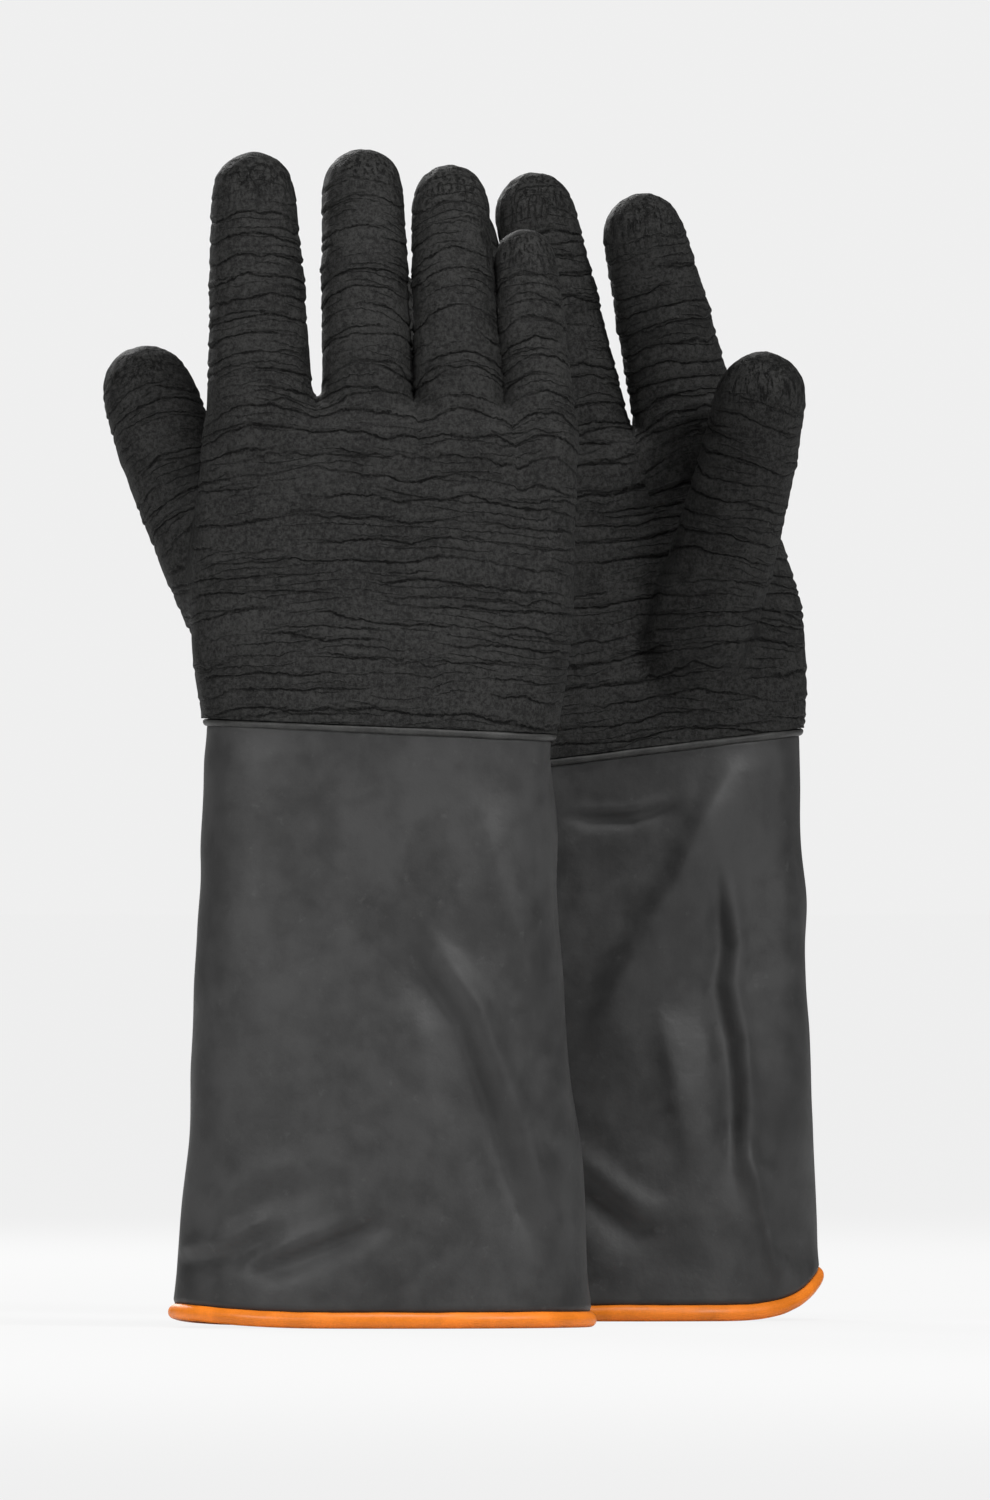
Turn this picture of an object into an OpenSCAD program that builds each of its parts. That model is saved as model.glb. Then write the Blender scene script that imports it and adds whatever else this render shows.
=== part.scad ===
// A pair of electrical insulating gloves, standing on their cuffs.
// Each glove is an inner rubber layer, an outer gauntlet, a crinkled hand coat and a rolled
// cuff bead. The last part of each digit is a piece of its own and bends at the joint.
// A glove is drawn with its thumb towards -X, its palm towards +Y and its cuff on the floor.
// The front glove keeps that direction. The rear glove is turned half a turn about Z.

/* [Gauntlet] */
// Height of the wrist over the floor
wrist_h = 207; // [160:1:260]
// Width of the cuff's opening, front and rear
cuff_w = [150, 134]; // [110:1:170]
// Depth of the cuff's opening, front and rear
cuff_d = [84, 98]; // [60:1:110]
// Width of the wrist
wrist_w = 123; // [95:1:140]
// Depth of the wrist
wrist_d = 54; // [44:1:70]
// How quickly the gauntlet widens towards the cuff
flare = 1.3; // [1:0.1:2]
// How far each wrist has sagged
sag = [0, 8]; // [0:1:15]
// How far each wrist stands to the side
wrist_shift = [-1, 1.5]; // [-10:0.5:10]
// How far each wrist tips to the little finger's side, in degrees
wrist_tilt = [2.5, 7]; // [0:0.5:12]

/* [Cuff bead] */
// Thickness of the rolled bead
bead_d = 5.8; // [4:0.2:8]
// How far the bead curls up at the thumb's side, front and rear
cuff_rise = [3, 15]; // [0:1:20]

/* [Hand] */
// Length from the wrist to the knuckles
palm_len = 106; // [90:1:130]
// Width across the palm
palm_w = 135; // [115:1:150]
// Width across the knuckles
knuckle_w = 130; // [112:1:145]
// Thickness of the palm
palm_d = 36; // [32:1:46]
// Thickness of the hand at the knuckles
knuckle_d = 31; // [27:1:36]
// How far the knuckles stand to the side of the wrist, front and rear
knuckle_shift = [3.3, 22.5]; // [0:0.5:30]
// How far the knuckle line tips, in degrees, front and rear
knuckle_tilt = [2.5, 6]; // [0:0.5:15]
// Height of the rounded end of the palm over the knuckles
knuckle_dome = 9; // [6:0.5:12]
// Height of the light band at the coat's lower edge
band_h = 2.2; // [1.5:0.1:4]
// How far the band stands out of the coat
band_step = 0.5; // [0.2:0.1:1]

/* [Rubber] */
// Wall of the outer gauntlet
shell_t = 1.6; // [1.2:0.1:2]
// How far the crinkled coat stands out of the gauntlet
coat_step = 0.5; // [0.3:0.1:1]
// Wall of the inner layer
liner_t = 0.8; // [0.6:0.1:1.2]
// Gap between two layers of rubber
layer_gap = 0.15; // [0.1:0.05:0.3]
// Gap where a bending part meets the hand
bend_gap = 0.3; // [0.2:0.05:0.5]

/* [Fingers] */
// Length of the index finger
index_len = 93; // [80:1:105]
// Length of the middle finger
middle_len = 95; // [85:1:110]
// Length of the ring finger
ring_len = 90; // [80:1:105]
// Length of the little finger
little_len = 75; // [65:1:90]
// Widths at the roots of the four fingers
root_w = [38, 31.5, 31, 25]; // [22:0.5:40]
// Widths of the four fingers near their tips
tip_w = [28.5, 28, 26.5, 21.5]; // [18:0.5:30]
// Place of each finger's root across the palm
root_at = [-45, -8, 24.5, 53.5]; // [-56:0.5:56]
// Height of each finger's root over the knuckle line
root_h = [2, 9, 8, -1]; // [-8:0.5:10]
// Lean of the front glove's fingers from upright, in degrees
front_lean = [-1.6, -1.2, -2.9, -5.4]; // [-12:0.1:15]
// Lean of the rear glove's fingers from upright, in degrees
rear_lean = [13, 12.9, 10, 7]; // [-12:0.1:15]
// Bend of the front glove's fingers towards the palm, in degrees
front_curl = [5.1, 32.5, 27.6, 15.7]; // [0:0.1:40]
// Bend of the rear glove's fingers towards the palm, in degrees
rear_curl = [20.2, 5, 8, 10]; // [0:0.1:40]

/* [Thumb] */
// Length of the thumb from inside the palm
thumb_len = 128; // [110:1:140]
// Widths of the thumb at its root and near its tip
thumb_w = [40, 32]; // [26:0.5:42]
// Root of the front thumb: across, forward of the wrist and over it
front_thumb_at = [-37.1, 8.7, 21.3]; // [-40:0.1:30]
// Root of the rear thumb: across, forward of the wrist and over it
rear_thumb_at = [-17.5, 12, 23.5]; // [-40:0.1:30]
// Sideways lean of the front thumb at its root and tip, in degrees
front_thumb_lean = [-29.9, -16.2]; // [-40:0.1:0]
// Sideways lean of the rear thumb at its root and tip, in degrees
rear_thumb_lean = [-19.9, -9.6]; // [-40:0.1:0]
// Forward lean of the front thumb at its root and tip, in degrees
front_thumb_fwd = [9.9, 17.6]; // [0:0.1:30]
// Forward lean of the rear thumb at its root and tip, in degrees
rear_thumb_fwd = [14.1, 20]; // [0:0.1:30]

/* [Bending] */
// Distance from each root to the bend: index, middle, ring and little finger
bend_at = [38, 40, 38, 31]; // [25:1:45]
// Length of the thumb's bending part
thumb_bend = 45; // [35:1:55]

/* [Pair] */
// Distance between the two gloves' middle planes
pair_gap = 160; // [150:1:220]
// Sideways place of each glove
glove_x = [-29.6, 58.9]; // [-90:0.1:90]

/* [Hidden] */
GLOVES = ["front", "rear"];
DIGITS = ["index", "middle", "ring", "little", "thumb"];
SHARED = ["gauntlet_shell", "inner_layer", "cuff_bead", "coat_edge_band", "hand_coat"];

// Colours, as the photograph shows them
coat_colour = [0.19, 0.19, 0.18];
shell_colour = [0.25, 0.25, 0.24];
rubber_orange = [0.93, 0.52, 0.10];
band_colour = [0.42, 0.42, 0.40];

// Facets round the hand and round a digit
hand_sides = 22;
digit_sides = 10;
ball_sides = 8;
bead_sides = 8;

// Depth of a digit's section as a share of its width
digit_depth = 0.88;
// Roundness of the sections: 2 is an ellipse, and more is squarer
cuff_round = 2.1;
palm_round = 2.6;
digit_round = 2.2;

// Where the rings lie, as shares of the gauntlet's, the hand's and the dome's height
gauntlet_steps = [0, 0.3, 0.58, 0.82, 1];
hand_steps = [0.2, 0.45, 0.75, 1];
dome_steps = [0.6, 1];

// Share of the round end's section left at the very tip
tip_flat = 0.02;
// Where up the hand the palm is widest and flattest, as a share of its length
widest_h = 0.45;
flattest_h = 0.6;
// How far the rounded end of the palm draws in, in depth and in width
dome_flat = 0.89;
dome_narrow = 0.26;
// How the hand's middle line swings over towards the knuckles: 1 is evenly
swing = 1.6;
// Radius and depth of the webs between the fingers, and radius of the thumb's web
web_r = 6.1;
web_depth = 6.72;
thumb_web_r = 13.85;
// Where the thumb's web lies, as shares of the thumb's length and of the palm's height
thumb_web_along = [0.2, 0.36];
thumb_web_up = [0.22, 0.36];
// Where it meets the palm: shares of the palm's width to the thumb's side, and how far forward
thumb_web_across = [0.28, 0.3];
thumb_web_forward = 4.76;
// How far its upper end stands to the palm's side of the thumb, and its radius as a share
crotch_side = 5.31;
crotch_share = 0.84;
// A finger's form starts this deep in the palm and is full size after this far
root_sunk = 20.19;
root_grow = 16.1;
// How much narrower a digit's form starts
root_inset = 4.44;

// Where round the cuff the bead rises, and how far each way, in degrees
rise_at = 190;
rise_spread = 60;

// Walls and insets, all counted inwards from the crinkled coat's outer face
coat_t = shell_t + coat_step;
liner_in = coat_t + layer_gap;
cavity_in = liner_in + liner_t;

// How far a hollow runs past the opening it makes
past = 1;
// Degrees in a full circle
full_turn = 360;

// Heights of the stacked pieces
bead_r = bead_d / 2;
edge_gap = 0.3;
shell_foot = bead_d + edge_gap;
finger_len = [index_len, middle_len, ring_len, little_len];
finger_lean = [front_lean, rear_lean];
finger_curl = [front_curl, rear_curl];
thumb_at = [front_thumb_at, rear_thumb_at];
thumb_lean = [front_thumb_lean, rear_thumb_lean];
thumb_fwd = [front_thumb_fwd, rear_thumb_fwd];

// ---- Small helpers ----
function mix(a, b, t) = a + (b - a) * t;
function ease(t) = let (c = min(1, max(0, t))) c * c * (3 - 2 * c);
function unit(v) = v / norm(v);
function backwards(list) = [for (i = [len(list) - 1:-1:0]) list[i]];
function upright_frame(centre, tilt) = [centre, [cos(tilt), 0, -sin(tilt)], [sin(tilt), 0, cos(tilt)]];

// A closed outline between an ellipse and a rectangle, half as wide as a and half as deep as b
function outline(a, b, roundness, sides) = [
    for (i = [0:sides - 1])
        let (t = full_turn * i / sides, c = cos(t), s = sin(t))
            [a * sign(c) * pow(abs(c), 2 / roundness), b * sign(s) * pow(abs(s), 2 / roundness)]];

// A frame is [centre, across, along], and a ring is an outline laid in a frame
function ring(frame, a, b, roundness, sides) =
    let (forward = cross(frame[2], frame[1]))
        [for (p = outline(a, b, roundness, sides)) frame[0] + p[0] * frame[1] + p[1] * forward];

// Triangles between two rings of points, which start at point numbers a and b
function band(a, b, sides) = [
    for (i = [0:sides - 1])
        let (j = (i + 1) % sides)
            each [[a + i, b + i, a + j], [a + j, b + i, b + j]]];
function wall(first, rings, sides) = [
    for (r = [0:rings - 2])
        each band(first + r * sides, first + (r + 1) * sides, sides)];
function disc(first, sides) = [for (i = [0:sides - 1]) first + i];
function flipped(faces) = [for (f = faces) backwards(f)];

// A solid through a list of rings, with flat ends
module loft(rings) {
    sides = len(rings[0]);
    last = (len(rings) - 1) * sides;
    polyhedron([for (r = rings) each r],
        concat(wall(0, len(rings), sides), [disc(0, sides), backwards(disc(last, sides))]));
}

// A wall of rubber between as many outer and inner rings, open at the first ones.
// It is open at the last ones too, or closed there if capped.
module shell(outer, inner, capped) {
    sides = len(outer[0]);
    count = len(outer);
    top = (count - 1) * sides;
    foot_in = count * sides;
    top_in = foot_in + top;
    polyhedron([for (r = concat(outer, inner)) each r], concat(
        wall(0, count, sides),
        flipped(wall(foot_in, count, sides)),
        band(foot_in, 0, sides),
        capped ? [backwards(disc(top, sides)), disc(top_in, sides)] : band(top, top_in, sides)));
}

// A closed hoop through a list of rings that go once round its section
module hoop(rings) {
    sides = len(rings[0]);
    polyhedron([for (r = rings) each r],
        concat(wall(0, len(rings), sides), band((len(rings) - 1) * sides, 0, sides)));
}

// ---- The glove's body ----
function wrist_z(g) = wrist_h - sag[g];
function knuckle_rise(g) = sqrt(pow(palm_len, 2) - pow(knuckle_shift[g], 2));

// How much of the cuff's rise falls at one angle round the cuff
function rise_share(t) =
    let (d = abs(t - rise_at) / rise_spread)
        d < 1 ? pow(cos(90 * d), 2) : 0;

// A ring of the gauntlet at height z over the floor
function gauntlet_ring(g, z, inset) =
    let (h = z / wrist_z(g), open = pow(1 - h, flare),
        frame = upright_frame([wrist_shift[g] * h, 0, z], wrist_tilt[g] * ease(2 * h - 1)),
        points = ring(frame,
            mix(wrist_w, cuff_w[g], open) / 2 - inset, mix(wrist_d, cuff_d[g], open) / 2 - inset,
            mix(palm_round, cuff_round, open), hand_sides))
        [for (i = [0:hand_sides - 1])
            points[i] + [0, 0, cuff_rise[g] * pow(1 - h, 2) * rise_share(full_turn * i / hand_sides)]];

// The hand's middle line: h is 0 at the wrist and 1 at the knuckles
function hand_frame(g, h) =
    upright_frame([wrist_shift[g] + knuckle_shift[g] * pow(h, swing), 0, wrist_z(g) + knuckle_rise(g) * h],
        mix(wrist_tilt[g], knuckle_tilt[g], h));
function hand_w(h) = h < widest_h
    ? mix(wrist_w, palm_w, sin(90 * h / widest_h))
    : mix(palm_w, knuckle_w, ease((h - widest_h) / (1 - widest_h)));
function hand_d(h) = h < flattest_h
    ? mix(wrist_d, palm_d, ease(h / flattest_h))
    : mix(palm_d, knuckle_d, ease((h - flattest_h) / (1 - flattest_h)));
function hand_ring(g, h, inset) =
    ring(hand_frame(g, h), hand_w(h) / 2 - inset, hand_d(h) / 2 - inset, palm_round, hand_sides);

// The rounded end of the palm: h is 0 at the knuckles and 1 at the top
function dome_ring(g, h, inset) =
    let (f = hand_frame(g, 1), shrink = sqrt(1 - dome_flat * h * h))
        ring([f[0] + h * (knuckle_dome - inset) * f[2], f[1], f[2]],
            (knuckle_w / 2 - inset) * mix(1, shrink, dome_narrow), (knuckle_d / 2 - inset) * shrink,
            palm_round, hand_sides);

function gauntlet_rings(g, from_z, inset) =
    [for (h = gauntlet_steps) gauntlet_ring(g, mix(from_z, wrist_z(g), h), inset)];
function hand_rings(g, inset) = concat(
    [for (h = hand_steps) hand_ring(g, h, inset)],
    [for (h = dome_steps) dome_ring(g, h, inset)]);

// ---- The digits ----
function is_thumb(d) = d == len(DIGITS) - 1;
function digit_len(d) = is_thumb(d) ? thumb_len : finger_len[d];
function start_r(d) = (is_thumb(d) ? thumb_w[0] : root_w[d]) / 2;
function end_r(d) = (is_thumb(d) ? thumb_w[1] : tip_w[d]) / 2;
function straight_len(d) = digit_len(d) - end_r(d);
function digit_cut(d) = is_thumb(d) ? thumb_len - thumb_bend : bend_at[d];
function digit_root(g, d) =
    let (wrist = hand_frame(g, 0), knuckles = hand_frame(g, 1))
        is_thumb(d) ? wrist[0] + thumb_at[g]
            : knuckles[0] + root_at[d] * knuckles[1] + root_h[d] * knuckles[2];

// The way a digit points: end is 0 at its root and 1 at its tip
function heading(g, d, end) =
    let (lean = is_thumb(d) ? thumb_lean[g][end] : finger_lean[g][d],
        bend = is_thumb(d) ? thumb_fwd[g][end] : end * finger_curl[g][d])
        [sin(lean) * cos(bend), sin(bend), cos(lean) * cos(bend)];

// A frame on the digit's curved middle line, x along it from the root
function digit_frame(g, d, x) =
    let (t = x / digit_len(d), half = digit_len(d) / 2,
        root = digit_root(g, d), elbow = root + half * heading(g, d, 0), tip = elbow + half * heading(g, d, 1),
        along = unit(mix(heading(g, d, 0), heading(g, d, 1), t)))
        [(1 - t) * (1 - t) * root + 2 * t * (1 - t) * elbow + t * t * tip,
            unit(cross([0, 1, 0], along)), along];

// A ring of a digit. Past the start of its round end, an inset shortens it too.
function digit_ring(g, d, x, inset) =
    let (past = max(0, x - straight_len(d)) / end_r(d),
        side = mix(start_r(d), end_r(d), min(1, max(0, x / straight_len(d)))),
        r = (side - inset) * sqrt(max(tip_flat, 1 - past * past)))
        ring(digit_frame(g, d, x - past * inset), r, r * digit_depth, digit_round, digit_sides);

// Where the bending part's rings lie, from the bend to the tip
function tip_rings(g, d, inset) =
    let (cut = digit_cut(d) + bend_gap, straight = straight_len(d))
        [for (x = [cut, mix(cut, straight, 0.5), straight, straight + 0.5 * end_r(d),
            straight + 0.85 * end_r(d), digit_len(d)]) digit_ring(g, d, x, inset)];

// ---- Solid forms, which the layers are cut from ----
module digit_base_form(g, d, inset, past_cut) {
    start = is_thumb(d) ? 0 : -root_sunk;
    full = start + root_grow;
    loft([
        digit_ring(g, d, start, inset + root_inset),
        digit_ring(g, d, full, inset),
        digit_ring(g, d, mix(full, digit_cut(d), 0.5), inset),
        digit_ring(g, d, digit_cut(d) + past_cut, inset)]);
}

module finger_web_form(g, d, inset) {
    near = digit_frame(g, d, 0);
    far = digit_frame(g, d + 1, 0);
    middle = mix(near[0], far[0], root_w[d] / (root_w[d] + root_w[d + 1]));
    hull()
        for (up = [-2 * web_depth, -web_r], forward = [-web_depth, web_depth])
            translate(middle + up * near[2] + [0, forward, 0])
                sphere(web_r - inset, $fn = ball_sides);
}

module thumb_web_form(g, inset) {
    base = digit_frame(g, len(DIGITS) - 1, thumb_web_along[0] * thumb_len);
    crotch = digit_frame(g, len(DIGITS) - 1, thumb_web_along[1] * thumb_len);
    hull() {
        translate(base[0])
            sphere(thumb_web_r - inset, $fn = ball_sides);
        translate(crotch[0] + crotch_side * crotch[1])
            sphere(crotch_share * thumb_web_r - inset, $fn = ball_sides);
        for (i = [0, 1]) {
            palm = hand_frame(g, thumb_web_up[i]);
            translate(palm[0] - thumb_web_across[i] * palm_w * palm[1] + thumb_web_forward * [0, 1, 1])
                sphere(thumb_web_r - inset, $fn = ball_sides);
        }
    }
}

// Everything above the wrist but the palm itself
module digits_form(g, inset, past_cut) {
    for (d = [0:len(DIGITS) - 1])
        digit_base_form(g, d, inset, past_cut);
    for (d = [0:len(finger_len) - 2])
        finger_web_form(g, d, inset);
    thumb_web_form(g, inset);
}

// ---- The pieces ----
module gauntlet_shell(g) {
    color(shell_colour)
        shell(gauntlet_rings(g, shell_foot, coat_step), gauntlet_rings(g, shell_foot, coat_t), capped = false);
}

module inner_layer(g) {
    // The foot starts from a ring inside the cavity, so that it follows the cuff's rise all round.
    // Its points lie between the cavity's corners, so that no two edges meet there.
    inside = gauntlet_ring(g, shell_foot + past, cavity_in + past);
    foot = [for (i = [0:hand_sides - 1]) mix(inside[i], inside[(i + 1) % hand_sides], 0.5)];
    color(rubber_orange)
        difference() {
            union() {
                loft(concat([foot], gauntlet_rings(g, shell_foot, liner_in), hand_rings(g, liner_in)));
                digits_form(g, liner_in, 0);
            }
            loft(concat(gauntlet_rings(g, -bead_d, cavity_in), hand_rings(g, cavity_in)));
            digits_form(g, cavity_in, past);
        }
}

module cuff_bead(g) {
    // The rolled bead has flat sides, one of them on the floor
    half_side = full_turn / bead_sides / 2;
    corner_r = bead_r / cos(half_side);
    wall_middle = (coat_step + cavity_in) / 2;
    color(rubber_orange)
        hoop([for (t = [half_side:2 * half_side:full_turn - half_side])
            gauntlet_ring(g, bead_r + corner_r * sin(t), wall_middle - corner_r * cos(t))]);
}

module coat_edge_band(g) {
    heights = [edge_gap, edge_gap + band_h];
    color(band_colour)
        shell([for (z = heights) hand_ring(g, z / palm_len, -band_step)],
            [for (z = heights) hand_ring(g, z / palm_len, coat_t)], capped = false);
}

module hand_coat(g) {
    foot = band_h + 2 * edge_gap;
    color(coat_colour)
        difference() {
            union() {
                loft(concat([hand_ring(g, foot / palm_len, 0)], hand_rings(g, 0)));
                digits_form(g, 0, 0);
            }
            loft(concat([hand_ring(g, (foot - past) / palm_len, coat_t)], hand_rings(g, coat_t)));
            digits_form(g, coat_t, past);
        }
}

module digit_tip(g, d) {
    color(coat_colour)
        shell(tip_rings(g, d, 0), tip_rings(g, d, coat_t), capped = true);
}

module digit_tip_liner(g, d) {
    color(rubber_orange)
        shell(tip_rings(g, d, liner_in), tip_rings(g, d, cavity_in), capped = true);
}

// Puts a glove in its place beside the other
module place(g) {
    y = (g == 0 ? -0.5 : 0.5) * pair_gap;
    translate([glove_x[g], y + (cuff_d[0] - cuff_d[1]) / 4, 0])
        rotate([0, 0, 180 * g])
            children();
}

for (g = [0:1]) {
    place(g) gauntlet_shell(g);
    place(g) inner_layer(g);
    place(g) cuff_bead(g);
    place(g) coat_edge_band(g);
    place(g) hand_coat(g);
    for (d = [0:len(DIGITS) - 1]) {
        tip = str(GLOVES[g], "_", DIGITS[d], "_tip");
        place(g) digit_tip(g, d);
        place(g) digit_tip_liner(g, d);
    }
}
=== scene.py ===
"""A pair of electrical insulating gloves that stand on their cuffs: crinkled hands over smooth
gauntlets, with an orange lining that is rolled into a bead round each cuff."""

import math
from contextlib import contextmanager

import bmesh
import bpy
import numpy as np
from bpy.props import FloatProperty, FloatVectorProperty, IntProperty, PointerProperty
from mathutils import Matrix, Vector
from mathutils.bvhtree import BVHTree
from mathutils.kdtree import KDTree


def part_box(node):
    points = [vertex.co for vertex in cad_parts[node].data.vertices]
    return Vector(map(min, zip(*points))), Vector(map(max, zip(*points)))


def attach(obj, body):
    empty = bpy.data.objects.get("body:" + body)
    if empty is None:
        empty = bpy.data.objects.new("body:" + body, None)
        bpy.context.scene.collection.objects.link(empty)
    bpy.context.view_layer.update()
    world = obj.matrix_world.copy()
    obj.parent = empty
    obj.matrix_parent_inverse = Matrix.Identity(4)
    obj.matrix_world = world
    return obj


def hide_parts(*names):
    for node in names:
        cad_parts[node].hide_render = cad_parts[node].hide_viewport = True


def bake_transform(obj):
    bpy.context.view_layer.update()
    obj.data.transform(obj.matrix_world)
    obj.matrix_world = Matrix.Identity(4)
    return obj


bl_info = {
    "name": "Insulating Gloves",
    "version": (1, 0, 0),
    "blender": (4, 5, 0),
    "location": "View3D > Sidebar > Gloves",
    "description": "Dresses a pair of rubber insulating gloves over their solid model",
    "category": "Object",
}

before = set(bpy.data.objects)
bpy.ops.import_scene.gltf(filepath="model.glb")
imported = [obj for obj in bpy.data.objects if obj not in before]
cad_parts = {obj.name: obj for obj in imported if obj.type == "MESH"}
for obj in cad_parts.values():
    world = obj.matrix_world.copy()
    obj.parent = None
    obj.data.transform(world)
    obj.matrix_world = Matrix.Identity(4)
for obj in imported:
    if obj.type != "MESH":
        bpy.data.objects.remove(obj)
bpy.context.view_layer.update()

MM = 0.001
GLOVES = ("front", "rear")
DIGITS = ("index", "middle", "ring", "little", "thumb")

# While a hand is remeshed its digits are slimmed, fully from SLIM_FULL over their bends
SLIMMING = 0.9 * MM
SLIM_FROM, SLIM_FULL = 1 * MM, 8 * MM
# A digit's rim has its corners this near its middle. The hand's rim lies at one of these gaps.
RIM_REACH = 30 * MM
RIM_GAPS = (0.3 * MM, 0.2 * MM, 0.4 * MM, 0.5 * MM)
# A digit's skin starts this far below its bend
SKIN_START = 11.5 * MM
# How far below its bend, and how many radii from its middle line, a digit reaches
ROOT_REACH = 12 * MM
DIGIT_REACH = 2.4

GAUNTLET_WALL = 1.1 * MM
# The lining is pressed this far in from its gauntlet. Below GAUNTLET_TOP its long edges are cut.
LINING_SINK = 0.45 * MM
LINING_EDGE = 3.0 * MM
GAUNTLET_TOP = 0.205

# The noise of each glove's creases and folds
CREASE_SEEDS = {"front": 11, "rear": 47}
FOLD_SEEDS = {"front": 5, "rear": 23}

# Each lamp's place, its width in metres and its watts
LAMPS = {
    "key_lamp": ((1.15, -1.25, 1.35), 0.45, 28),
    "left_lamp": ((-1.15, -1.35, 0.95), 0.5, 16),
    "top_lamp": ((0.1, -0.5, 2.2), 0.6, 24),
    "back_lamp": ((-0.7, 1.8, 1.3), 1.0, 42),
}
LAMP_AIM = Vector((0, 0, 0.2))
WORLD_LIGHT = 0.13
# What the camera sees of the surroundings and the floor, whose shaded part keeps the shadows
SEEN_WORLD, SEEN_FLOOR, SHADED_FLOOR = 0.865, 0.85, 0.06

# The camera stands far off, level with the middle of the gloves
CAMERA_DISTANCE = 12.0
CAMERA_LENS = 825.2
SENSOR = 36.0
CAMERA_AIM = Vector((0.0097, -0.0835, 0.2014))
IMAGE_W, IMAGE_H = 990, 1500

# Where things show in the photograph's 990 x 1500 frame. An edge has one number only.
POINTS = {
    "left": (103, None), "right": (824, None), "top": (None, 149), "bottom": (None, 1329),
    "front_index_tip": (254, 152), "rear_index_tip": (644, 193), "rear_thumb_tip": (763, 351),
    "front_band_left": (203, 722),
    "front_long_fold": (454, 1021), "front_side_ridge": (507, 896), "front_low_fold": (320, 1245),
    "rear_wrist_fold": (632, 818), "rear_slant_ridge": (677, 879), "rear_upright_fold": (730, 1039),
    "rear_low_ridge": (770, 1254), "rear_low_hollow": (612, 1202),
}


# ---- Small helpers ----

def make_active(obj):
    """Selects obj alone."""
    bpy.ops.object.select_all(action="DESELECT")
    obj.select_set(True)
    bpy.context.view_layer.objects.active = obj


@contextmanager
def edit_mode(obj, select_all=False):
    """Opens one mesh in edit mode for the steps inside."""
    make_active(obj)
    bpy.ops.object.mode_set(mode="EDIT")
    if select_all:
        bpy.ops.mesh.select_all(action="SELECT")
    yield
    bpy.ops.object.mode_set(mode="OBJECT")


def apply_modifier(obj, kind, **settings):
    """Adds one modifier and applies it."""
    modifier = obj.modifiers.new(kind.title(), kind)
    for name, value in settings.items():
        setattr(modifier, name, value)
    make_active(obj)
    bpy.ops.object.modifier_apply(modifier=modifier.name)


def vectors(items, name):
    """One vector of each item of a mesh, as an array."""
    flat = np.empty(len(items) * 3)
    items.foreach_get(name, flat)
    return flat.reshape(-1, 3)


def points_of(obj):
    """The places of a mesh's vertices."""
    return vectors(obj.data.vertices, "co")


def set_points(obj, places):
    """Moves a mesh's vertices to the places in an array."""
    obj.data.vertices.foreach_set("co", places.ravel())
    obj.data.update()


def normals_of(obj):
    """The smooth normals at a mesh's vertices."""
    return vectors(obj.data.vertex_normals, "vector")


def push_out(obj, distances):
    """Moves a mesh's vertices outwards, each by its own distance."""
    set_points(obj, points_of(obj) + normals_of(obj) * distances[:, None])


def ease(low, high, value):
    """0 below low, 1 above high, and a smooth step between."""
    t = np.clip((value - low) / (high - low), 0, 1)
    return t * t * (3 - 2 * t)


def lattice(ix, iy, iz, seed):
    """A fixed number from -1 to 1 for each corner of a grid."""
    h = (ix.astype(np.int64) * 73856093) ^ (iy.astype(np.int64) * 19349663)
    h = (h ^ (iz.astype(np.int64) * 83492791) ^ (seed * 2654435761)) & 0xFFFFFFFF
    h = ((h ^ (h >> 15)) * 2246822519) & 0xFFFFFFFF
    h = ((h ^ (h >> 13)) * 3266489917) & 0xFFFFFFFF
    return ((h ^ (h >> 16)) & 0xFFFFFF) / float(0x7FFFFF) - 1.0


def noise(places, size, seed):
    """Smooth noise from -1 to 1, with lumps of the given size in mm, or one size each way."""
    grid = places / (np.asarray(size, float) * MM)
    corner = np.floor(grid)
    t = grid - corner
    t = t * t * (3 - 2 * t)
    total = np.zeros(len(places))
    for step in np.ndindex(2, 2, 2):
        weight = np.where(step, t, 1 - t).prod(axis=1)
        total += weight * lattice(*(corner + step).T, seed)
    return total


def sight_length():
    """The distance from the camera to its picture, in the picture's pixels."""
    lens = bpy.context.scene.camera.data
    return max(IMAGE_W, IMAGE_H) * lens.lens / lens.sensor_width


def place_at(point, tree):
    """Where the line of sight through an image point meets a surface, or comes nearest to it."""
    x, y = POINTS[point]
    camera = bpy.context.scene.camera.matrix_basis
    origin = camera.translation
    sight = camera.to_3x3() @ Vector((x - IMAGE_W / 2, IMAGE_H / 2 - y, -sight_length()))
    sight.normalize()
    place = tree.ray_cast(origin, sight)[0]
    if place is None:
        place = tree.find_nearest(origin + sight * CAMERA_DISTANCE)[0]
    return place


def image_of(places):
    """The image x and y of places, as an array."""
    camera = bpy.context.scene.camera.matrix_basis
    seen = (places - np.array(camera.translation)) @ np.array(camera.to_3x3())
    scale = sight_length() / -seen[:, 2]
    return np.column_stack([IMAGE_W / 2 + seen[:, 0] * scale, IMAGE_H / 2 - seen[:, 1] * scale])


def write_points():
    """Works out where the points of each visible glove piece show in the image."""
    pieces = [o for o in bpy.data.objects if o.type == "MESH" and not o.hide_render
              and o.name.startswith(GLOVES) and not o.name.endswith("liner")]
    seen = {piece.name: image_of(points_of(piece)) for piece in pieces}


def finish_piece(obj, material, body=None):
    """Gives a finished piece its material, and its body if one is given."""
    obj.data.materials.clear()
    obj.data.materials.append(bpy.data.materials[material])
    obj.data.polygons.foreach_set("use_smooth", [True] * len(obj.data.polygons))
    obj.data.polygons.foreach_set("material_index", [0] * len(obj.data.polygons))
    if body:
        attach(obj, body)


# ---- Copies of the solid model ----

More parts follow.
